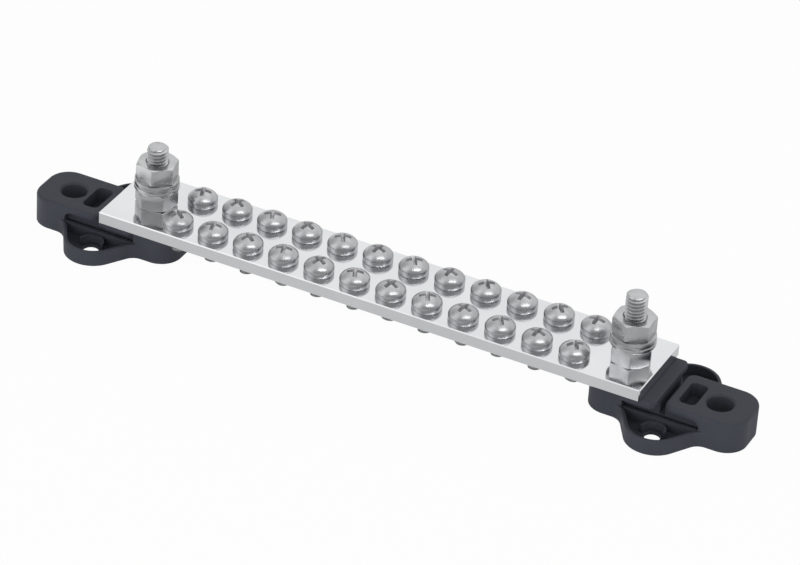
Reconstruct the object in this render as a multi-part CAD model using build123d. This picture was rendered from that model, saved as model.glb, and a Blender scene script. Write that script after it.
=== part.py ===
# Twin row bus bar on two moulded feet, with a bolted stud at each end.
# Millimetres, +Z up. X runs along the bar, Y across it. The feet stand on Z = 0.
from build123d import *
from math import atan, cos, pi, sin, tan
import os

os.makedirs("parts", exist_ok=True)

# Bar, set a little off the middle between its two studs
bar_length = 156.0
bar_width = 24.5
bar_thickness = 3.5
bar_edge_break = 0.25

# Terminal screws: two rows of pan head machine screws in tapped holes
screw_columns = 12
first_screw_past_lobe = 1.2
last_screw_past_lobe = 3.7
row_spacing = 13.0
screw_diameter = 4.0
screw_length = 7.0
screw_head_diameter = 8.0
screw_head_height = 3.8
screw_head_rim = 1.8
screw_tip_chamfer = 0.5
recess_span = 4.4
recess_wing = 1.0
recess_depth = 1.6
recess_taper = 12.0
recess_overshoot = 0.2

# End studs: bolts put in from under the feet
stud_from_left_end = 10.5
stud_from_right_end = 8.0
stud_diameter = 5.7
stud_seat = 6.3
left_stud_above_bar = 17.2
right_stud_above_bar = 19.4
stud_tip_chamfer = 0.7
hex_across_flats = 10.0
hex_head_height = 4.0
nut_height = 5.0
nut_chamfer_angle = 30.0
flat_washer_diameter = 12.0
flat_washer_thickness = 1.2
spring_washer_diameter = 11.8
spring_washer_thickness = 1.6
washer_slit = 0.7
washer_slit_slant = 25.0

# Turn of each nut as it was left after tightening
left_lower_turn = 16.0
left_top_turn = 43.6
right_lower_turn = 49.0
right_top_turn = 31.5

# Turn of the screws: each one stops a golden part of a turn past the last
screw_turn_step = 137.5
front_row_turn = 8.0
back_row_turn = 61.0
slit_turn_ratio = 3

# Feet: one moulding, used at both ends
lobe_hole_spacing = 25.0
lobe_reach = 9.1
lobe_width = 17.0
lobe_corner = 6.0
outer_lobe_height = 8.5
outer_lobe_start = 0.5
outer_lobe_corner = 2.5
lobe_edge_radius = 0.8
platform_height = 9.6
platform_end = 0.9
platform_edge_radius = 0.4

# Both lobes have a thin top over cut away sides, and the inner one's top is a shelf for the bar
lobe_top_thickness = 1.6
cutaway_depth = 2.0
cutaway_half = 10.5
cutaway_side = 0.7
shelf_width = 22.6
shelf_length = 10.0
shelf_corner = 1.5

# Ears with a hollow top, one on each side
ear_height = 4.2
ear_root_half = 10.8
ear_apex = 26.0
ear_radius = 7.7
ear_blend = 3.8
ear_rim = 0.9
ear_edge_radius = 0.35
hollow_blend = 4.6
hollow_corner_lift = 0.3
web_thickness = 1.0

# Holes of the feet
lobe_hole_diameter = 7.0
lobe_hole_lip = 0.5
pocket_clearance = 0.2
clip_slot_x = 5.2
clip_slot_width = 4.7
clip_slot_length = 9.8
clip_slot_corner = 1.5
clip_slot_depth = 5.0
fixing_hole_spacing = 24.5
fixing_hole_diameter = 4.3

# Half ring behind each fixing screw, and the rib left along the foot of each cut away side
arch_outer_diameter = 6.8
arch_inner_diameter = 5.4
arch_height = 3.4
rib_thickness = 0.8

# Radial clearances
thread_clearance = 0.05
stud_hole_clearance = 0.2
washer_clearance = 0.15

# Worked out from the sizes above
stud_span = bar_length - stud_from_left_end - stud_from_right_end
stud_places = {"left": -stud_span / 2, "right": stud_span / 2}
bar_centre_x = (stud_from_right_end - stud_from_left_end) / 2
bar_bottom = platform_height
bar_top = bar_bottom + bar_thickness
foot_length = lobe_hole_spacing + 2 * lobe_reach
foot_centre_x = stud_span / 2 + lobe_hole_spacing / 2
flat_washer_seat = bar_top + nut_height
spring_washer_seat = flat_washer_seat + flat_washer_thickness
top_nut_seat = spring_washer_seat + spring_washer_thickness
stud_tops = {"left": bar_top + left_stud_above_bar, "right": bar_top + right_stud_above_bar}
hex_corner_radius = hex_across_flats / 2 / cos(pi / 6)
first_screw_x = stud_places["left"] + lobe_reach + first_screw_past_lobe
last_screw_x = stud_places["right"] - lobe_reach - last_screw_past_lobe
screw_pitch = (last_screw_x - first_screw_x) / (screw_columns - 1)
screw_places = [first_screw_x + column * screw_pitch for column in range(screw_columns)]
row_places = {"front": -row_spacing / 2, "back": row_spacing / 2}
row_turns = {"front": front_row_turn, "back": back_row_turn}
cutaway_corner = outer_lobe_height - lobe_top_thickness - ear_height - cutaway_side
ear_half_angle = atan(ear_root_half / (ear_apex - lobe_width / 2))


def place(shape, x, y, z, turn=0.0):
    return Pos(x, y, z) * Rot(0, 0, turn) * shape


# Rolled bar with two rows of tapped holes and a clear hole for each stud
def make_bar():
    bar = extrude(Rectangle(bar_length, bar_width), amount=bar_thickness)
    bar = Pos(bar_centre_x, 0, 0) * chamfer(bar.edges(), bar_edge_break)
    tapped = Cylinder(screw_diameter / 2 + thread_clearance, 3 * bar_thickness)
    clear = Cylinder(stud_diameter / 2 + stud_hole_clearance, 3 * bar_thickness)
    bar -= [Pos(x, y, 0) * tapped for x in screw_places for y in row_places.values()]
    bar -= [Pos(x, 0, 0) * clear for x in stud_places.values()]
    return Pos(0, 0, bar_bottom) * bar


# Pan head screw, drawn with the underside of its head at Z = 0
def make_screw():
    head_radius = screw_head_diameter / 2
    shank_radius = screw_diameter / 2
    dome_rise = screw_head_height - screw_head_rim
    dome_radius = (head_radius**2 + dome_rise**2) / (2 * dome_rise)
    outline = Polyline(
        (0, screw_head_height),
        (0, -screw_length),
        (shank_radius - screw_tip_chamfer, -screw_length),
        (shank_radius, screw_tip_chamfer - screw_length),
        (shank_radius, 0),
        (head_radius, 0),
        (head_radius, screw_head_rim),
    )
    dome = RadiusArc((head_radius, screw_head_rim), (0, screw_head_height), -dome_radius)
    screw = revolve(Plane.XZ * make_face(outline + dome), Axis.Z)
    cross = Rectangle(recess_span, recess_wing) + Rectangle(recess_wing, recess_span)
    cutter = extrude(cross, amount=-recess_depth - recess_overshoot, taper=recess_taper)
    return screw - Pos(0, 0, screw_head_height + recess_overshoot) * cutter


# Split ring, flat as it is when it is tightened
def make_split_washer(outer_diameter, inner_diameter, thickness):
    ring = extrude(Circle(outer_diameter / 2) - Circle(inner_diameter / 2), amount=thickness)
    slant = Rot(washer_slit_slant, 0, 0)
    slit = Pos(outer_diameter / 2, 0, thickness / 2) * slant * Box(outer_diameter, washer_slit, 3 * thickness)
    return ring - slit


def make_flat_washer():
    hole_radius = stud_diameter / 2 + washer_clearance
    return extrude(Circle(flat_washer_diameter / 2) - Circle(hole_radius), amount=flat_washer_thickness)


# Hexagon with its corners turned off by a cone at the chosen ends
def make_hexagon(height, chamfer_top, chamfer_bottom):
    body = extrude(RegularPolygon(hex_corner_radius, 6), amount=height)
    corner_drop = (hex_corner_radius - hex_across_flats / 2) * tan(nut_chamfer_angle * pi / 180)
    wide = hex_corner_radius + 1
    wide_drop = corner_drop + tan(nut_chamfer_angle * pi / 180)
    outline = [(0, 0), (0, height), (hex_across_flats / 2, height), (wide, height - wide_drop), (wide, 0)]
    if not chamfer_top:
        outline = [(0, 0), (0, height), (wide, height), (wide, 0)]
    if chamfer_bottom:
        outline = outline[:-1] + [(wide, wide_drop), (hex_across_flats / 2, 0)]
    envelope = revolve(Plane.XZ * make_face(Polyline(*outline, close=True)), Axis.Z)
    return body & envelope


def make_nut():
    nut = make_hexagon(nut_height, True, True)
    return nut - Cylinder(stud_diameter / 2 + thread_clearance, 3 * nut_height)


# Bolt drawn upright with the seat of its head at Z = 0
def make_stud(length):
    shank = Cylinder(stud_diameter / 2, length, align=(Align.CENTER, Align.CENTER, Align.MIN))
    tip = shank.edges().sort_by(Axis.Z)[-1]
    shank = chamfer(tip, stud_tip_chamfer)
    head = Pos(0, 0, -hex_head_height) * make_hexagon(hex_head_height, False, True)
    return head + shank


# Both ears over the two lobes, drawn in by the inset on the ears' flanks
def foot_outline(inset, width, blend):
    apex_y = ear_apex - inset / sin(ear_half_angle)
    root_y = width / 2
    base_y = root_y - ear_rim
    base_half = (apex_y - base_y) * tan(ear_half_angle)
    ear = Polygon((-base_half, base_y), (base_half, base_y), (0, apex_y), align=None)
    ear = fillet(ear.vertices().sort_by(Axis.Y)[-1], ear_radius - inset)
    outline = RectangleRounded(foot_length, width, lobe_corner) + ear + mirror(ear, about=Plane.XZ)
    root_half = (apex_y - root_y) * tan(ear_half_angle)
    roots = [v for v in outline.vertices() if abs(abs(v.X) - root_half) < 0.01]
    return fillet(roots, blend)


# Half ring that stands behind the hole of the +Y ear
def make_arch():
    ring = Circle(arch_outer_diameter / 2) - Circle(arch_inner_diameter / 2)
    ring &= Rectangle(arch_outer_diameter, arch_outer_diameter, align=(Align.CENTER, Align.MAX))
    return Pos(0, fixing_hole_spacing / 2, 0) * extrude(ring, amount=arch_height)


# Room to cut from both long sides of a lobe, between the ears and the lobe's thin top
def make_cutaway(top):
    standing = (Align.CENTER, Align.CENTER, Align.MIN)
    height = top - lobe_top_thickness - ear_height
    room = Box(2 * cutaway_half, 2 * lobe_width, height, align=standing)
    room = fillet(room.edges().filter_by(Axis.Y).group_by(Axis.Z)[-1], cutaway_corner)
    room -= Box(2 * foot_length, lobe_width - 2 * cutaway_depth, height, align=standing)
    return Pos(0, 0, ear_height) * room


# Inner lobe under the bar, with a shelf that reaches out past its sides
def make_platform():
    span = foot_length / 2 - platform_end
    block = Pos(-platform_end - span / 2, 0) * Rectangle(span, lobe_width)
    block = fillet(block.vertices().sort_by(Axis.X)[:2], lobe_corner)
    shelf = Pos(-platform_end - shelf_length / 2, 0) * Rectangle(shelf_length, shelf_width)
    shelf = fillet(shelf.vertices(), shelf_corner)
    platform = extrude(block, amount=platform_height) - make_cutaway(platform_height)
    platform += Pos(0, 0, platform_height - lobe_top_thickness) * extrude(shelf, amount=lobe_top_thickness)
    return fillet(platform.faces().sort_by(Axis.Z)[-1].edges(), platform_edge_radius)


def make_outer_lobe():
    span = foot_length / 2 - outer_lobe_start
    plan = Pos(outer_lobe_start + span / 2, 0) * Rectangle(span, lobe_width)
    plan = fillet(plan.vertices().sort_by(Axis.X)[-2:], lobe_corner)
    plan = fillet(plan.vertices().sort_by(Axis.X)[:2], outer_lobe_corner)
    lobe = extrude(plan, amount=outer_lobe_height)
    lobe = fillet(lobe.faces().sort_by(Axis.Z)[-1].edges(), lobe_edge_radius)
    slot = RectangleRounded(clip_slot_width, clip_slot_length, clip_slot_corner)
    slot = extrude(slot, amount=clip_slot_depth)
    lobe -= make_cutaway(outer_lobe_height)
    return lobe - Pos(clip_slot_x, 0, outer_lobe_height - clip_slot_depth) * slot


# The foot is drawn for the right end, with the bar lying on its -X half
def make_foot():
    base = extrude(foot_outline(0, lobe_width, ear_blend), amount=ear_height)
    base = fillet(base.faces().sort_by(Axis.Z)[-1].edges(), ear_edge_radius)
    hollow = foot_outline(ear_rim, lobe_width - 2 * hollow_corner_lift, hollow_blend)
    hollow -= Rectangle(2 * foot_length, lobe_width)
    base -= Pos(0, 0, web_thickness) * extrude(hollow, amount=ear_height)
    foot = base + make_platform() + make_outer_lobe()
    groove = Rectangle(2 * cutaway_half, lobe_width - 2 * rib_thickness)
    groove -= Rectangle(2 * foot_length, lobe_width - 2 * cutaway_depth)
    foot -= Pos(0, 0, web_thickness) * extrude(groove, amount=ear_height - web_thickness)

    arch = make_arch()
    foot += arch
    foot += mirror(arch, about=Plane.XZ)
    for y in (-fixing_hole_spacing / 2, fixing_hole_spacing / 2):
        foot -= Pos(0, y, 0) * Cylinder(fixing_hole_diameter / 2, 4 * platform_height)

    pocket_radius = (hex_across_flats / 2 + pocket_clearance) / cos(pi / 6)
    foot -= Pos(-lobe_hole_spacing / 2, 0, 0) * extrude(RegularPolygon(pocket_radius, 6), amount=stud_seat)
    hanging = (Align.CENTER, Align.CENTER, Align.MAX)
    for x, top in ((-lobe_hole_spacing / 2, platform_height), (lobe_hole_spacing / 2, outer_lobe_height)):
        lip = Cone(lobe_hole_diameter / 2, lobe_hole_diameter / 2 + lobe_hole_lip, lobe_hole_lip, align=hanging)
        foot -= Pos(x, 0, 0) * Cylinder(lobe_hole_diameter / 2, 4 * platform_height)
        foot -= Pos(x, 0, top) * lip
    return foot


def save(shape, name):
    shape.label = name
    export_step(shape, f"parts/{name}.step")


def solid_of(shape):
    return shape.solids()[0]


save(solid_of(make_bar()), "bus_bar")

foot = solid_of(make_foot())
save(Pos(foot_centre_x, 0, 0) * foot, "right_foot")
save(Pos(-foot_centre_x, 0, 0) * Rot(0, 0, 180) * foot, "left_foot")

nut = solid_of(make_nut())
flat_washer = solid_of(make_flat_washer())
spring_bore = stud_diameter + 2 * washer_clearance
spring_washer = solid_of(make_split_washer(spring_washer_diameter, spring_bore, spring_washer_thickness))
nut_turns = {"left": (left_lower_turn, left_top_turn), "right": (right_lower_turn, right_top_turn)}
for side, x in stud_places.items():
    lower_turn, top_turn = nut_turns[side]
    stud = solid_of(make_stud(stud_tops[side] - stud_seat))
    save(place(stud, x, 0, stud_seat), f"{side}_stud")
    save(place(nut, x, 0, bar_top, lower_turn), f"{side}_lower_nut")
    save(place(flat_washer, x, 0, flat_washer_seat), f"{side}_flat_washer")
    save(place(spring_washer, x, 0, spring_washer_seat, slit_turn_ratio * top_turn), f"{side}_spring_washer")
    save(place(nut, x, 0, top_nut_seat, top_turn), f"{side}_top_nut")

screw = solid_of(make_screw())
for row, y in row_places.items():
    for number, x in enumerate(screw_places, start=1):
        turn = number * screw_turn_step + row_turns[row]
        save(place(screw, x, y, bar_top, turn), f"{row}_screw_{number:02d}")
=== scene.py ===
# Twin row bus bar on two moulded feet: finishes, threads, light and camera.
import math

import bmesh
import bpy
from mathutils import Matrix, Quaternion, Vector


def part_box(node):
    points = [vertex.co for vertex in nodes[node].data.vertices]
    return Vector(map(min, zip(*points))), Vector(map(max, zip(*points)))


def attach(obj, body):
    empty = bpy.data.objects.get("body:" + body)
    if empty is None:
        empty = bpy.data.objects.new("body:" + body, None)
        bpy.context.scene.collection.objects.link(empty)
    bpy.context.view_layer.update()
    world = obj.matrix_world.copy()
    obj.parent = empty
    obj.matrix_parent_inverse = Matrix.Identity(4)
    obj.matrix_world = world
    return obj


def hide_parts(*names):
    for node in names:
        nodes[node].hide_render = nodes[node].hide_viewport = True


mm = 0.001  # the pieces' values are in mm and degrees, the stage's in metres

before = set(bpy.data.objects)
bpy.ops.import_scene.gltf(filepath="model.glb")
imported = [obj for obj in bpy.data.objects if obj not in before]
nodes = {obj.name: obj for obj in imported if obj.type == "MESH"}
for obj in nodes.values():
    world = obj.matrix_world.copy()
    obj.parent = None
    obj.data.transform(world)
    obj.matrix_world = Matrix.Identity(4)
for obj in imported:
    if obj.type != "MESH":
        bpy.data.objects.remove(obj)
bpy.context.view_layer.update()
print("frame loaded:", len(nodes), "nodes")


# Materials

def startMaterial(name):
    material = bpy.data.materials.new(name)
    material.use_nodes = True
    tree = material.node_tree
    shader = tree.nodes["Principled BSDF"]
    coords = tree.nodes.new("ShaderNodeTexCoord")
    return material, tree, shader, coords


def addNoise(tree, coords, scale, detail, stretch=(1, 1, 1)):
    mapping = tree.nodes.new("ShaderNodeMapping")
    mapping.inputs["Scale"].default_value = stretch
    noise = tree.nodes.new("ShaderNodeTexNoise")
    noise.inputs["Scale"].default_value = scale
    noise.inputs["Detail"].default_value = detail
    tree.links.new(coords.outputs["Object"], mapping.inputs["Vector"])
    tree.links.new(mapping.outputs["Vector"], noise.inputs["Vector"])
    return noise.outputs["Fac"]


def mapRange(tree, value, fromLow, fromHigh, toLow, toHigh):
    node = tree.nodes.new("ShaderNodeMapRange")
    node.inputs["From Min"].default_value = fromLow
    node.inputs["From Max"].default_value = fromHigh
    node.inputs["To Min"].default_value = toLow
    node.inputs["To Max"].default_value = toHigh
    tree.links.new(value, node.inputs["Value"])
    return node.outputs["Result"]


def mixColours(tree, factor, first, second):
    node = tree.nodes.new("ShaderNodeMix")
    node.data_type = "RGBA"
    tree.links.new(factor, node.inputs["Factor"])
    node.inputs[6].default_value = (*first, 1)  # the colour sockets stand at 6 and 7
    node.inputs[7].default_value = (*second, 1)
    return node.outputs[2]


def addBump(tree, shader, height, strength, distance):
    bump = tree.nodes.new("ShaderNodeBump")
    bump.inputs["Strength"].default_value = strength
    bump.inputs["Distance"].default_value = distance
    tree.links.new(height, bump.inputs["Height"])
    tree.links.new(bump.outputs["Normal"], shader.inputs["Normal"])


tinLook = {
    "bright": (0.83, 0.84, 0.85),
    "dull": (0.77, 0.78, 0.795),
    "dullSpan": (0.35, 0.7),
    "rough": (0.07, 0.13),
    "roughSpan": (0.3, 0.7),
    "cloudScale": 60,
    "cloudDetail": 4,
    "rollScale": 900,
    "rollDetail": 2,
    "rollStretch": (0.02, 1, 1),
    "rollStrength": 0.25,
    "rollDepth": 0.00001,
}


def makeTin():
    look = tinLook
    material, tree, shader, coords = startMaterial("brightTin")
    clouds = addNoise(tree, coords, look["cloudScale"], look["cloudDetail"])
    rolled = addNoise(tree, coords, look["rollScale"], look["rollDetail"], look["rollStretch"])
    dulling = mapRange(tree, clouds, *look["dullSpan"], 0, 1)
    tree.links.new(mixColours(tree, dulling, look["bright"], look["dull"]), shader.inputs["Base Color"])
    tree.links.new(mapRange(tree, clouds, *look["roughSpan"], *look["rough"]), shader.inputs["Roughness"])
    shader.inputs["Metallic"].default_value = 1
    addBump(tree, shader, rolled, look["rollStrength"], look["rollDepth"])
    return material


steelLooks = {
    "screwSteel": {
        "bright": (0.51, 0.515, 0.525),
        "dull": (0.42, 0.425, 0.435),
        "rough": (0.25, 0.33),
        "cloudScale": 280,
        "grainScale": 4200,
    },
    "recessSteel": {
        "bright": (0.54, 0.54, 0.55),
        "dull": (0.38, 0.38, 0.39),
        "rough": (0.4, 0.52),
        "cloudScale": 360,
        "grainScale": 5400,
    },
    "nutSteel": {
        "bright": (0.57, 0.575, 0.58),
        "dull": (0.47, 0.475, 0.485),
        "rough": (0.2, 0.3),
        "cloudScale": 200,
        "grainScale": 3000,
    },
    "studSteel": {
        "bright": (0.55, 0.555, 0.56),
        "dull": (0.45, 0.455, 0.465),
        "rough": (0.26, 0.36),
        "cloudScale": 240,
        "grainScale": 3600,
    },
    "washerSteel": {
        "bright": (0.56, 0.565, 0.57),
        "dull": (0.46, 0.465, 0.475),
        "rough": (0.2, 0.32),
        "cloudScale": 240,
        "grainScale": 3600,
    },
    "springSteel": {
        "bright": (0.5, 0.505, 0.51),
        "dull": (0.38, 0.385, 0.39),
        "rough": (0.26, 0.38),
        "cloudScale": 320,
        "grainScale": 4800,
    },
}
steelFinish = {
    "cloudDetail": 4,
    "dullSpan": (0.35, 0.68),
    "roughSpan": (0.3, 0.7),
    "grainDetail": 2,
    "grainStrength": 0.12,
    "grainDepth": 0.00002,
}


def makeSteel(name):
    look, finish = steelLooks[name], steelFinish
    material, tree, shader, coords = startMaterial(name)
    clouds = addNoise(tree, coords, look["cloudScale"], finish["cloudDetail"])
    grain = addNoise(tree, coords, look["grainScale"], finish["grainDetail"])
    dulling = mapRange(tree, clouds, *finish["dullSpan"], 0, 1)
    tree.links.new(mixColours(tree, dulling, look["bright"], look["dull"]), shader.inputs["Base Color"])
    tree.links.new(mapRange(tree, clouds, *finish["roughSpan"], *look["rough"]), shader.inputs["Roughness"])
    shader.inputs["Metallic"].default_value = 1
    addBump(tree, shader, grain, finish["grainStrength"], finish["grainDepth"])
    return material


plasticLook = {
    "body": (0.049, 0.053, 0.068),
    "worn": (0.060, 0.064, 0.079),
    "wornSpan": (0.35, 0.7),
    "rough": (0.46, 0.60),
    "roughSpan": (0.3, 0.7),
    "patchScale": 90,
    "patchDetail": 5,
    "grainScale": 2600,
    "grainDetail": 2,
    "grainStrength": 0.35,
    "grainDepth": 0.00004,
    "specular": 0.15,
}


def makePlastic():
    look = plasticLook
    material, tree, shader, coords = startMaterial("charcoalPlastic")
    patches = addNoise(tree, coords, look["patchScale"], look["patchDetail"])
    grain = addNoise(tree, coords, look["grainScale"], look["grainDetail"])
    wear = mapRange(tree, patches, *look["wornSpan"], 0, 1)
    tree.links.new(mixColours(tree, wear, look["body"], look["worn"]), shader.inputs["Base Color"])
    tree.links.new(mapRange(tree, patches, *look["roughSpan"], *look["rough"]), shader.inputs["Roughness"])
    shader.inputs["Specular IOR Level"].default_value = look["specular"]
    addBump(tree, shader, grain, look["grainStrength"], look["grainDepth"])
    return material


materials = {name: makeSteel(name) for name in steelLooks}
materials["brightTin"] = makeTin()
materials["charcoalPlastic"] = makePlastic()
print("materials made:", len(materials))


# Mesh helpers

meshValues = {
    "spinWeld": 0.00011,
    "weldGap": 0.002,
    "flatAngle": 0.5,  # faces that meet within this are made one
    "smoothAngle": 35,
    "margin": 1,  # how far a cutting shape reaches past the piece
}


def newObject(name, bm, materialNames, smoothAngle=meshValues["smoothAngle"]):
    mesh = bpy.data.meshes.new(name)
    bm.to_mesh(mesh)
    bm.free()
    piece = bpy.data.objects.new(name, mesh)
    bpy.context.scene.collection.objects.link(piece)
    for materialName in materialNames:
        mesh.materials.append(materials[materialName])
    for polygon in mesh.polygons:
        polygon.use_smooth = True
    mesh.set_sharp_from_angle(angle=math.radians(smoothAngle))
    return piece


def spinOutline(outline, steps):
    bm = bmesh.new()
    verts = [bm.verts.new((radius * mm, 0, height * mm)) for radius, height in outline]
    edges = [bm.edges.new(pair) for pair in zip(verts, verts[1:])]
    bmesh.ops.spin(bm, geom=verts + edges, cent=(0, 0, 0), axis=(0, 0, 1), angle=2 * math.pi,
                   steps=steps, use_merge=True, use_duplicate=False)
    bmesh.ops.remove_doubles(bm, verts=bm.verts, dist=meshValues["spinWeld"] * mm)
    bmesh.ops.recalc_face_normals(bm, faces=bm.faces)
    return bm


# Joins or cuts two closed shapes, and both are used up
def combine(target, cutter, operation):
    for bm in (target, cutter):
        bm.normal_update()
    first = bpy.data.objects.new("target", bpy.data.meshes.new("target"))
    second = bpy.data.objects.new("cutter", bpy.data.meshes.new("cutter"))
    for piece, bm in ((first, target), (second, cutter)):
        bm.to_mesh(piece.data)
        bm.free()
        bpy.context.scene.collection.objects.link(piece)
    modifier = first.modifiers.new("combine", "BOOLEAN")
    modifier.operation = operation
    modifier.solver = "EXACT"
    modifier.object = second
    result = bmesh.new()
    result.from_object(first, bpy.context.evaluated_depsgraph_get())
    for piece in (first, second):
        mesh = piece.data
        bpy.data.objects.remove(piece)
        bpy.data.meshes.remove(mesh)
    return result


def bevelSharp(bm, width, angle):
    bmesh.ops.remove_doubles(bm, verts=bm.verts, dist=meshValues["weldGap"] * mm)
    flat = math.radians(meshValues["flatAngle"])
    bmesh.ops.dissolve_limit(bm, angle_limit=flat, verts=bm.verts, edges=bm.edges)
    sharp = [edge for edge in bm.edges
             if len(edge.link_faces) == 2 and edge.calc_face_angle(0) > math.radians(angle)]
    bmesh.ops.bevel(bm, geom=sharp, offset=width * mm, offset_type="OFFSET", affect="EDGES",
                    segments=2, profile=0.5, material=-1, clamp_overlap=True)
    return bm


def placed(bm, x, y, z, turn):
    copy = bm.copy()
    spot = Matrix.Translation(Vector((x, y, z)) * mm) @ Matrix.Rotation(math.radians(turn), 4, "Z")
    bmesh.ops.transform(copy, matrix=spot, verts=copy.verts)
    return copy


# Share of the pitch, and whether the line is at the crest of the thread there
threadProfile = ((0.0, False), (0.10, False), (0.44, True), (0.56, True), (0.90, False))


# A stepped V line goes round once and rises one pitch, and its ends are cut off square
def threadedShank(radius, rootRadius, pitch, low, high, steps):
    turns = math.ceil((high - low) / pitch) + 2  # a spare turn below and above
    bm = bmesh.new()
    verts = []
    for turn in range(turns):
        base = low - pitch + turn * pitch
        for share, atCrest in threadProfile:
            distance = radius if atCrest else rootRadius
            verts.append(bm.verts.new((distance * mm, 0, (base + share * pitch) * mm)))
    verts.append(bm.verts.new((rootRadius * mm, 0, (low - pitch + turns * pitch) * mm)))
    edges = [bm.edges.new(pair) for pair in zip(verts, verts[1:])]
    bmesh.ops.spin(bm, geom=verts + edges, cent=(0, 0, 0), axis=(0, 0, 1), angle=2 * math.pi,
                   dvec=(0, 0, pitch * mm / steps), steps=steps, use_merge=False, use_duplicate=False)
    bmesh.ops.remove_doubles(bm, verts=bm.verts, dist=meshValues["weldGap"] * mm)
    for height, outward in ((low, -1), (high, 1)):
        cut = bmesh.ops.bisect_plane(bm, geom=bm.verts[:] + bm.edges[:] + bm.faces[:],
                                     plane_co=(0, 0, height * mm), plane_no=(0, 0, outward),
                                     clear_outer=True, clear_inner=False)
        rim = [item for item in cut["geom_cut"] if isinstance(item, bmesh.types.BMEdge)]
        bmesh.ops.contextual_create(bm, geom=rim)
    bmesh.ops.recalc_face_normals(bm, faces=bm.faces)
    return bm


def addParts(bm, added):
    mesh = bpy.data.meshes.new("added")
    added.to_mesh(mesh)
    added.free()
    bm.from_mesh(mesh)
    bpy.data.meshes.remove(mesh)


def showPiece(piece, slot, *replaced):
    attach(piece, "root")
    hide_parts(*replaced)


def centreOf(node):
    low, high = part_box(node)
    return (low + high) / 2 / mm, low / mm, high / mm


# Terminal screws: pan head, cross recess, threaded shank

screwValues = {
    "headRadius": 4.0,
    "headHeight": 3.8,
    "rimHeight": 1.8,
    "rimRound": 0.3,
    "rimFoot": 0.25,
    "rimFootShare": 0.3,  # how much of the rim's foot is left at its middle step
    "domeSteps": 20,
    "shoulderSteps": 6,
    "edgeRound": 0.07,
    "sharpAngle": 40,
    "shankRadius": 2.0,
    "rootRadius": 1.62,
    "threadPitch": 0.7,
    "threadSteps": 28,
    "length": 7.0,
    "overlap": 0.1,
    "recessSpan": 5.6,
    "recessWing": 1.35,
    "recessDepth": 1.8,
    "recessLead": 0.4,  # how far the cutting cross starts above the head
    "recessFloor": 0.5,  # width of the floor as a share of the mouth's
    "recessLowest": 0.9,
    "recessEdge": 0.05,
    "turnStep": 137.5,  # each screw stopped at a turn of its own
    "rowTurns": {"front": 8.0, "back": 61.0},
    "columns": 12,
    "steps": 56,
}


def domeHeight(values, distance):
    rise = values["headHeight"] - values["rimHeight"]
    ball = (values["headRadius"] ** 2 + rise * rise) / (2 * rise)
    return values["headHeight"] - ball + math.sqrt(ball * ball - min(distance, ball) ** 2)


def makeScrewHead(values):
    foot, soft, radius = values["rimFoot"], values["rimRound"], values["headRadius"]
    low = foot * values["rimFootShare"]
    outline = [(0, 0), (radius - foot, 0), (radius - low, low), (radius, foot)]
    crown = []
    for index in range(values["domeSteps"] + 1):
        distance = radius * (1 - index / values["domeSteps"])
        if distance < radius - soft:
            crown.append((distance, domeHeight(values, distance)))
    # a curve from the rim's side over its corner to the dome
    start, corner, end = (radius, values["rimHeight"] - soft), (radius, values["rimHeight"]), crown[0]
    for index in range(values["shoulderSteps"]):
        share = index / values["shoulderSteps"]
        near, middle, far = (1 - share) ** 2, 2 * share * (1 - share), share ** 2
        outline.append((near * start[0] + middle * corner[0] + far * end[0],
                        near * start[1] + middle * corner[1] + far * end[1]))
    return spinOutline(outline + crown, values["steps"])


def makeCross(values):
    span, wing, depth = values["recessSpan"] / 2, values["recessWing"] / 2, values["recessDepth"]
    top = values["headHeight"] + values["recessLead"]
    bm = bmesh.new()
    ring = [(span, -wing), (span, wing), (wing, wing), (wing, span), (-wing, span), (-wing, wing),
            (-span, wing), (-span, -wing), (-wing, -wing), (-wing, -span), (wing, -span), (wing, -wing)]
    face = bm.faces.new([bm.verts.new((x * mm, y * mm, top * mm)) for x, y in ring])
    made = bmesh.ops.extrude_face_region(bm, geom=[face])
    lower = [item for item in made["geom"] if isinstance(item, bmesh.types.BMVert)]
    bmesh.ops.translate(bm, verts=lower, vec=(0, 0, -(depth + values["recessLead"]) * mm))
    taper = values["recessFloor"]
    bmesh.ops.scale(bm, verts=lower, vec=(taper, taper, 1))
    bmesh.ops.recalc_face_normals(bm, faces=bm.faces)
    return bm


def makeScrew(values):
    screw = combine(makeScrewHead(values), makeCross(values), "DIFFERENCE")
    bevelSharp(screw, values["edgeRound"], values["sharpAngle"])
    # the walls and floor of the cross get the rougher finish
    for face in screw.faces:
        middle = face.calc_center_median() / mm
        across = middle.xy.length
        inside = across < values["recessSpan"] / 2 and middle.z > values["recessLowest"]
        below = middle.z < domeHeight(values, across) - values["recessEdge"]
        face.material_index = int(inside and below)
    addParts(screw, threadedShank(values["shankRadius"], values["rootRadius"], values["threadPitch"],
                                  -values["length"], values["overlap"], values["threadSteps"]))
    return screw


screwMaster = makeScrew(screwValues)
for row, rowTurn in screwValues["rowTurns"].items():
    for number in range(1, screwValues["columns"] + 1):
        node = f"{row}_screw_{number:02d}"
        centre, _, high = centreOf(node)
        turn = number * screwValues["turnStep"] + rowTurn
        seat = high.z - screwValues["headHeight"]
        screw = placed(screwMaster, centre.x, centre.y, seat, turn)
        piece = newObject(f"{row}Screw{number:02d}", screw, ("screwSteel", "recessSteel"))
        showPiece(piece, "screw_steel", node)
screwMaster.free()
print("screws made")


# Studs with their hexagon heads

studValues = {
    "radius": 2.85,
    "rootRadius": 2.24,
    "threadPitch": 1.0,
    "tipChamfer": 0.5,
    "acrossFlats": 10.0,
    "headHeight": 4.0,
    "headRound": 0.12,
    "sharpAngle": 25,
    "overlap": 0.2,
    "steps": 48,
}

hexagonValues = {
    "sides": 6,
    "cornerTurn": 30,
    "chamferAngle": 30,
    "steps": 72,
}


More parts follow.
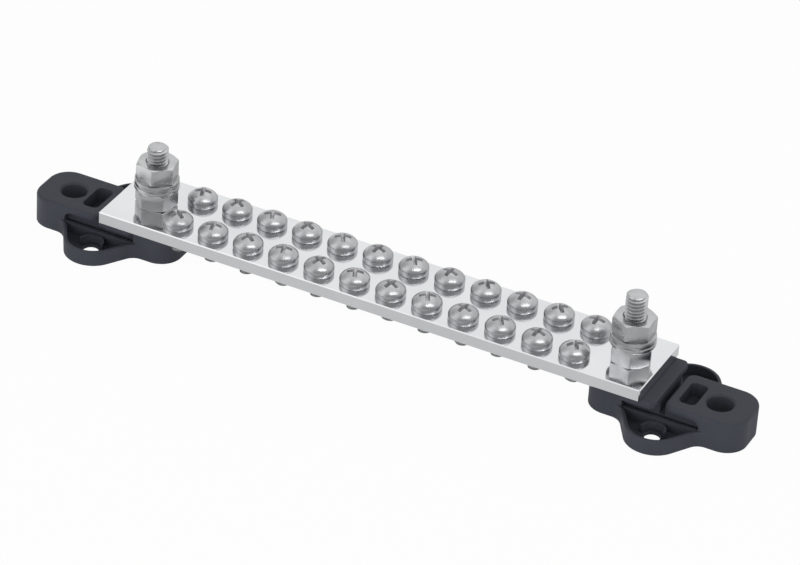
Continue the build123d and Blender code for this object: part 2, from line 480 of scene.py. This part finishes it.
# A hexagon whose corners are cut back by a cone at the top, the bottom or both
def hexPrism(acrossFlats, low, high, chamferTop, chamferBottom):
    values, margin = hexagonValues, meshValues["margin"]
    flat = acrossFlats / 2
    corner = flat / math.cos(math.pi / values["sides"])
    bm = bmesh.new()
    bmesh.ops.create_circle(bm, cap_ends=True, segments=values["sides"], radius=corner * mm)
    turn = Matrix.Rotation(math.radians(values["cornerTurn"]), 3, "Z")
    bmesh.ops.rotate(bm, verts=bm.verts, cent=(0, 0, 0), matrix=turn)
    bmesh.ops.translate(bm, verts=bm.verts, vec=(0, 0, low * mm))
    made = bmesh.ops.extrude_face_region(bm, geom=bm.faces[:])
    lifted = [item for item in made["geom"] if isinstance(item, bmesh.types.BMVert)]
    bmesh.ops.translate(bm, verts=lifted, vec=(0, 0, (high - low) * mm))
    bmesh.ops.recalc_face_normals(bm, faces=bm.faces)
    wide = corner + margin
    drop = (wide - flat) * math.tan(math.radians(values["chamferAngle"]))
    below, above = low - margin, high + margin
    outline = [(0, below), (wide, below), (wide, low)]
    if chamferBottom:
        outline = [(0, low), (flat, low), (wide, low + drop)]
    if chamferTop:
        outline += [(wide, high - drop), (flat, high), (0, high)]
    else:
        outline += [(wide, high), (wide, above), (0, above)]
    return combine(bm, spinOutline(outline, values["steps"]), "INTERSECT")


def makeStud(values, low, high):
    headTop = low + values["headHeight"]
    shank = threadedShank(values["radius"], values["rootRadius"], values["threadPitch"],
                          headTop - values["overlap"], high, values["steps"])
    tip = values["radius"] - values["tipChamfer"]
    wide = values["radius"] + meshValues["margin"]
    # this outline cuts the thread's end to a chamfer
    envelope = [(0, low), (wide, low), (wide, high - wide + tip), (tip, high), (0, high)]
    stud = combine(shank, spinOutline(envelope, values["steps"]), "INTERSECT")
    head = hexPrism(values["acrossFlats"], low, headTop, False, True)
    addParts(stud, bevelSharp(head, values["headRound"], values["sharpAngle"]))
    return stud


nutValues = {
    "acrossFlats": 10.0,
    "boreRadius": 2.8,
    "sinkRadius": 3.2,
    "edgeRound": 0.14,
    "sharpAngle": 22,
    "smoothAngle": 25,
    "leftTurns": (16.0, 43.6),
    "rightTurns": (49.0, 31.5),
    "steps": 48,
}


def makeNut(values, height):
    body = hexPrism(values["acrossFlats"], 0, height, True, True)
    bore, margin = values["boreRadius"], meshValues["margin"]
    mouth = values["sinkRadius"] + margin
    drop = values["sinkRadius"] - bore
    outline = [(0, -margin), (mouth, -margin), (bore, drop)]
    outline += [(bore, height - drop), (mouth, height + margin), (0, height + margin)]
    body = combine(body, spinOutline(outline, values["steps"]), "DIFFERENCE")
    return bevelSharp(body, values["edgeRound"], values["sharpAngle"])


for side in ("left", "right"):
    centre, low, high = centreOf(f"{side}_stud")
    stud = makeStud(studValues, low.z, high.z)
    bmesh.ops.translate(stud, verts=stud.verts, vec=(centre.x * mm, 0, 0))
    showPiece(newObject(f"{side}Stud", stud, ("studSteel",)), "stud_steel", f"{side}_stud")
    for name, turn in zip(("lower", "top"), nutValues[f"{side}Turns"]):
        node = f"{side}_{name}_nut"
        spot, bottom, top = centreOf(node)
        nut = makeNut(nutValues, top.z - bottom.z)
        turned = placed(nut, spot.x, 0, bottom.z, turn)
        nut.free()
        piece = newObject(f"{side}{name.capitalize()}Nut", turned, ("nutSteel",), nutValues["smoothAngle"])
        showPiece(piece, "nut_steel", node)
print("studs and nuts made")


# Washers

washerValues = {
    "flatBore": 3.0,
    "flatRound": 0.18,
    "springBore": 3.0,
    "springRound": 0.12,
    "sharpAngle": 40,
    "slit": 0.7,
    "slant": 25.0,
    "turnRatio": 3,  # the slit's turn for each degree of the top nut's
    "steps": 64,
}


def makeRing(values, outer, bore, thickness, soft, slit=None):
    outline = [(bore, 0), (outer, 0), (outer, thickness), (bore, thickness)]
    bm = bmesh.new()
    verts = [bm.verts.new((radius * mm, 0, height * mm)) for radius, height in outline]
    edges = [bm.edges.new(pair) for pair in zip(verts, verts[1:] + verts[:1])]
    bmesh.ops.spin(bm, geom=verts + edges, cent=(0, 0, 0), axis=(0, 0, 1), angle=2 * math.pi,
                   steps=values["steps"], use_merge=True, use_duplicate=False)
    bmesh.ops.recalc_face_normals(bm, faces=bm.faces)
    if slit:
        # a slanted slab through one side of the ring
        cutter = bmesh.new()
        bmesh.ops.create_cube(cutter, size=1)
        bmesh.ops.scale(cutter, verts=cutter.verts, vec=(2 * outer * mm, slit * mm, 3 * thickness * mm))
        slant = Matrix.Rotation(math.radians(values["slant"]), 3, "X")
        bmesh.ops.rotate(cutter, verts=cutter.verts, cent=(0, 0, 0), matrix=slant)
        bmesh.ops.translate(cutter, verts=cutter.verts, vec=(outer * mm, 0, thickness / 2 * mm))
        bm = combine(bm, cutter, "DIFFERENCE")
    return bevelSharp(bm, soft, values["sharpAngle"])


for side in ("left", "right"):
    node = f"{side}_flat_washer"
    spot, bottom, top = centreOf(node)
    outer, thickness = (top.x - bottom.x) / 2, top.z - bottom.z
    ring = makeRing(washerValues, outer, washerValues["flatBore"], thickness, washerValues["flatRound"])
    bmesh.ops.translate(ring, verts=ring.verts, vec=(spot.x * mm, 0, bottom.z * mm))
    showPiece(newObject(f"{side}FlatWasher", ring, ("washerSteel",)), "washer_steel", node)
    node = f"{side}_spring_washer"
    spot, bottom, top = centreOf(node)
    outer, thickness = (top.y - bottom.y) / 2, top.z - bottom.z
    ring = makeRing(washerValues, outer, washerValues["springBore"], thickness,
                    washerValues["springRound"], washerValues["slit"])
    turn = washerValues["turnRatio"] * nutValues[f"{side}Turns"][1]
    seated = placed(ring, spot.x, 0, bottom.z, turn)
    ring.free()
    showPiece(newObject(f"{side}SpringWasher", seated, ("springSteel",)), "washer_steel", node)
print("washers made")


# Bar and feet keep their solid's shape

finishes = {"bus_bar": "brightTin", "left_foot": "charcoalPlastic", "right_foot": "charcoalPlastic"}
for node, materialName in finishes.items():
    mesh = nodes[node].data
    mesh.materials.clear()
    mesh.materials.append(materials[materialName])
print("bar and feet finished")


# Floor, light and camera

stageValues = {
    "floorSize": 6.0,
    "floorDrop": 0.02,  # in mm, so that the feet's undersides stand clear of the floor
    "floorColour": (0.95, 0.95, 0.95),
    "cameraShare": 0.96,
    "cameraWhite": 1.0,
    "glossyShare": 0.85,
    "paintedMirrorGlow": (1.25, 0.63),  # painted reflection: the floor's glow in mirrors, brighter left of its edge than right of it
    "paintedGlowEdge": (-0.11, -0.092),
    "skyLow": 1.6,  # the plain light, from the horizon up to the zenith
    "skyHigh": 0.0,
    "leftGlow": 1.2,  # what metal mirrors, by the side that it faces
    "rightGlow": 0.42,
    "glowSpan": (-0.55, -0.15),
    "sideGlow": 0.62,
    "backGlow": 0.93,
    "topShare": 1.65,
    "aheadSpan": (-0.4, -0.15),
    "behindSpan": (0.2, 0.6),
    "topSpan": (0.6, 0.95),
}


def mixValues(tree, factor, first, second):
    node = tree.nodes.new("ShaderNodeMix")
    node.data_type = "FLOAT"
    tree.links.new(factor, node.inputs["Factor"])
    for socket, value in ((node.inputs[2], first), (node.inputs[3], second)):
        if isinstance(value, float):
            socket.default_value = value
        else:
            tree.links.new(value, socket)
    return node.outputs[0]


# White to the camera, a painted reflection in mirrors that glows brighter on its left side, and still a
# surface that takes the shadow
def makeFloor(values):
    bm = bmesh.new()
    bmesh.ops.create_grid(bm, x_segments=1, y_segments=1, size=values["floorSize"] / 2)
    bmesh.ops.translate(bm, verts=bm.verts, vec=(0, 0, -values["floorDrop"] * mm))
    mesh = bpy.data.meshes.new("floor")
    bm.to_mesh(mesh)
    bm.free()
    floor = bpy.data.objects.new("floor", mesh)
    bpy.context.scene.collection.objects.link(floor)
    material = bpy.data.materials.new("paleFloor")
    material.use_nodes = True
    tree = material.node_tree
    tree.nodes.clear()
    output = tree.nodes.new("ShaderNodeOutputMaterial")
    lightPath = tree.nodes.new("ShaderNodeLightPath")
    diffuse = tree.nodes.new("ShaderNodeBsdfDiffuse")
    diffuse.inputs["Color"].default_value = (*values["floorColour"], 1)
    white = tree.nodes.new("ShaderNodeEmission")
    shares = []
    for ray, value in (("Is Camera Ray", values["cameraShare"]), ("Is Glossy Ray", values["glossyShare"])):
        share = tree.nodes.new("ShaderNodeMath")
        share.operation = "MULTIPLY"
        share.inputs[1].default_value = value
        tree.links.new(lightPath.outputs[ray], share.inputs[0])
        shares.append(share)
    share = tree.nodes.new("ShaderNodeMath")
    share.operation = "MAXIMUM"
    for number, part in enumerate(shares):
        tree.links.new(part.outputs[0], share.inputs[number])
    coords = tree.nodes.new("ShaderNodeTexCoord")
    split = tree.nodes.new("ShaderNodeSeparateXYZ")
    tree.links.new(coords.outputs["Object"], split.inputs[0])
    # painted reflection: in mirrors the floor glows brighter left of its edge than right of it
    paintedGlow = mapRange(tree, split.outputs["X"], *values["paintedGlowEdge"], *values["paintedMirrorGlow"])
    whiteAndPaintedGlow = mixValues(tree, lightPath.outputs["Is Glossy Ray"], values["cameraWhite"], paintedGlow)
    tree.links.new(whiteAndPaintedGlow, white.inputs["Strength"])
    mix = tree.nodes.new("ShaderNodeMixShader")
    tree.links.new(share.outputs[0], mix.inputs["Fac"])
    tree.links.new(diffuse.outputs[0], mix.inputs[1])
    tree.links.new(white.outputs[0], mix.inputs[2])
    tree.links.new(mix.outputs[0], output.inputs["Surface"])
    mesh.materials.append(material)


# Plain light for the pieces, a glow of its own for mirrors, and white for the camera
def makeWorld(values):
    world = bpy.data.worlds.new("studio")
    bpy.context.scene.world = world
    world.use_nodes = True
    tree = world.node_tree
    tree.nodes.clear()
    output = tree.nodes.new("ShaderNodeOutputWorld")
    background = tree.nodes.new("ShaderNodeBackground")
    background.inputs["Color"].default_value = (1, 1, 1, 1)
    coords = tree.nodes.new("ShaderNodeTexCoord")
    split = tree.nodes.new("ShaderNodeSeparateXYZ")
    tree.links.new(coords.outputs["Generated"], split.inputs[0])
    lightPath = tree.nodes.new("ShaderNodeLightPath")
    soft = mapRange(tree, split.outputs["Z"], 0.0, 1.0, values["skyLow"], values["skyHigh"])
    sides = mapRange(tree, split.outputs["X"], *values["glowSpan"], values["leftGlow"], values["rightGlow"])
    ahead = mapRange(tree, split.outputs["Y"], *values["aheadSpan"], 1.0, 0.0)
    behind = mapRange(tree, split.outputs["Y"], *values["behindSpan"], 0.0, 1.0)
    near = mixValues(tree, ahead, values["sideGlow"], sides)
    glow = mixValues(tree, behind, near, values["backGlow"])
    dimmer = tree.nodes.new("ShaderNodeMath")
    dimmer.operation = "MULTIPLY"
    tree.links.new(glow, dimmer.inputs[0])
    overhead = mapRange(tree, split.outputs["Z"], *values["topSpan"], 1.0, values["topShare"])
    tree.links.new(overhead, dimmer.inputs[1])
    lit = mixValues(tree, lightPath.outputs["Is Glossy Ray"], soft, dimmer.outputs[0])
    strength = mixValues(tree, lightPath.outputs["Is Camera Ray"], lit, values["cameraWhite"])
    tree.links.new(strength, background.inputs["Strength"])
    tree.links.new(background.outputs[0], output.inputs["Surface"])


# The lamps' long sides lie level in the picture, so the gleams on the heads do too
lampUp = (-0.23, 0.50, 0.84)
lampValues = {
    "key": {"at": (0.45, -0.235, 0.86), "size": (0.8, 0.11), "power": 1.5, "gleams": True},
    "fill": {"at": (-0.15, -0.85, 0.3), "size": (0.5, 0.5), "power": 1.2, "gleams": False},
}


def makeLamp(name, values):
    light = bpy.data.lights.new(name, "AREA")
    light.shape = "RECTANGLE"
    light.size, light.size_y = values["size"]
    light.energy = values["power"]
    lamp = bpy.data.objects.new(name, light)
    lamp.location = values["at"]
    lamp.visible_glossy = values["gleams"]
    lamp.rotation_mode = "QUATERNION"
    back = Vector(values["at"]).normalized()
    wide = Vector(lampUp).cross(back).normalized()
    tall = back.cross(wide)
    lamp.rotation_quaternion = Matrix((wide, tall, back)).transposed().to_quaternion()
    bpy.context.scene.collection.objects.link(lamp)


cameraValues = {
    "azimuth": 25.09,
    "elevation": 33.25,
    "roll": 3.77,
    "distance": 1.0885,
    "focalPixels": 4237.0,
    "imageWidth": 800,
    "sensor": 36.0,
    "reach": 20,
    "target": (0.00343, -0.0002, 0.0131),
}


def makeCamera(values):
    data = bpy.data.cameras.new("camera")
    camera = bpy.data.objects.new("camera", data)
    bpy.context.scene.collection.objects.link(camera)
    bpy.context.scene.camera = camera
    data.sensor_width = values["sensor"]
    data.lens = values["focalPixels"] * values["sensor"] / values["imageWidth"]
    data.clip_end = values["reach"]
    azimuth, elevation = math.radians(values["azimuth"]), math.radians(values["elevation"])
    level = math.cos(elevation)
    back = Vector((math.sin(azimuth) * level, -math.cos(azimuth) * level, math.sin(elevation)))
    camera.location = Vector(values["target"]) + back * values["distance"]
    camera.rotation_mode = "QUATERNION"
    roll = Quaternion((0, 0, 1), math.radians(values["roll"]))
    camera.rotation_quaternion = (-back).to_track_quat("-Z", "Y") @ roll


makeFloor(stageValues)
makeWorld(stageValues)
for name, values in lampValues.items():
    makeLamp(name, values)
makeCamera(cameraValues)
bpy.context.scene.view_settings.view_transform = "Standard"
print("stage set")
